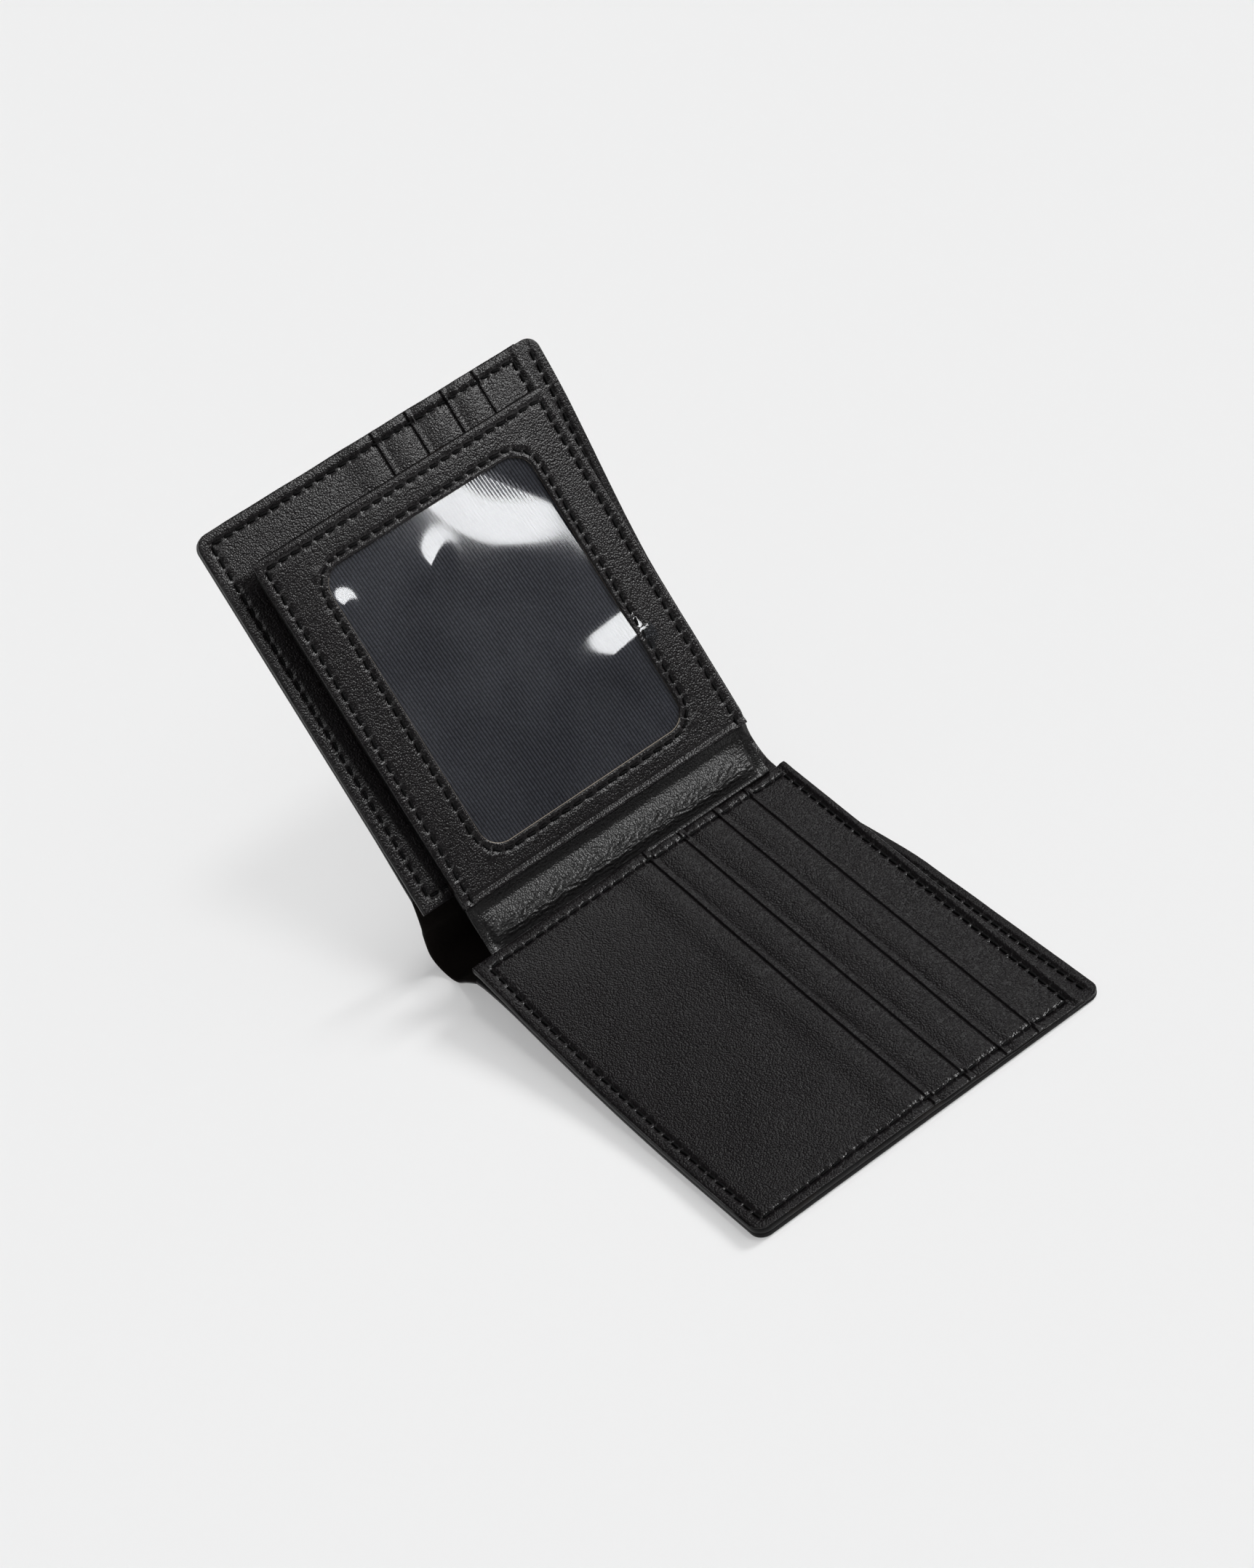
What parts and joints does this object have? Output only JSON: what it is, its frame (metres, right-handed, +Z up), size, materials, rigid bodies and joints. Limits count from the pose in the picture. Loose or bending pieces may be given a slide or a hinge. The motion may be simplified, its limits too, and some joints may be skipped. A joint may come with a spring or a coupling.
{
  "type": "bifold wallet with id flap",
  "caption": "Black grained leather wallet standing half open, with card slots, a bill compartment and a flip-out ID flap with a clear window.",
  "frame": {"origin": "middle of the narrow strip on which the spine rests, half way along the spine", "axes": "+X towards the free edge of the half that lies down, +Y along the spine towards the bill compartment's mouth, +Z up"},
  "size_m": [0.1701, 0.0902, 0.0919],
  "materials": {
    "black_leather": "satin, fine pebbled grain",
    "lining_cloth": "matte",
    "ribbed_cloth": "matte, fine ribs",
    "clear_film": "clear, glossy",
    "thread": "waxed",
    "board": "matte"
  },
  "bodies": {
    "right_half": {"right_cover": "black_leather", "right_lining": "lining_cloth", "right_hem_facing": "black_leather", "right_inner_lining": "lining_cloth", "right_inner_panel": "black_leather", "right_slot_strip_low": "black_leather", "right_slot_strip_middle": "black_leather", "right_slot_strip_high": "black_leather", "right_front_pocket": "black_leather", "right_edge_stitching": "thread", "right_panel_stitching": "thread", "right_hem_stitching": "thread", "spine_cover": "black_leather", "spine_stitching": "thread"},
    "id_flap": {"flap_frame": "black_leather", "flap_window": "clear_film", "flap_lining": "ribbed_cloth", "flap_stiffener": "board", "flap_back": "black_leather", "flap_hinge_strip": "black_leather", "flap_stitching": "thread", "window_stitching": "thread"},
    "left_half": {"left_cover": "black_leather", "left_lining": "lining_cloth", "left_hem_facing": "black_leather", "left_inner_lining": "lining_cloth", "left_inner_panel": "black_leather", "left_slot_strip_low": "black_leather", "left_slot_strip_middle": "black_leather", "left_slot_strip_high": "black_leather", "left_front_pocket": "black_leather", "left_edge_stitching": "thread", "left_panel_stitching": "thread", "left_hem_stitching": "thread"}
  },
  "joints": [
    {"name": "flap_fold", "type": "hinge", "parent": "right_half", "child": "id_flap", "pos_m": [0.01115, 0, 0.01332], "axis": [0, 1, 0], "range_deg": [0, 131.9]},
    {"name": "cover_open", "type": "hinge", "parent": "id_flap", "child": "left_half", "pos_m": [0.01115, 0, 0.01332], "axis": [0, -1, 0], "range_deg": [-3.1, 45], "deforming": ["spine_cover"]}
  ]
}
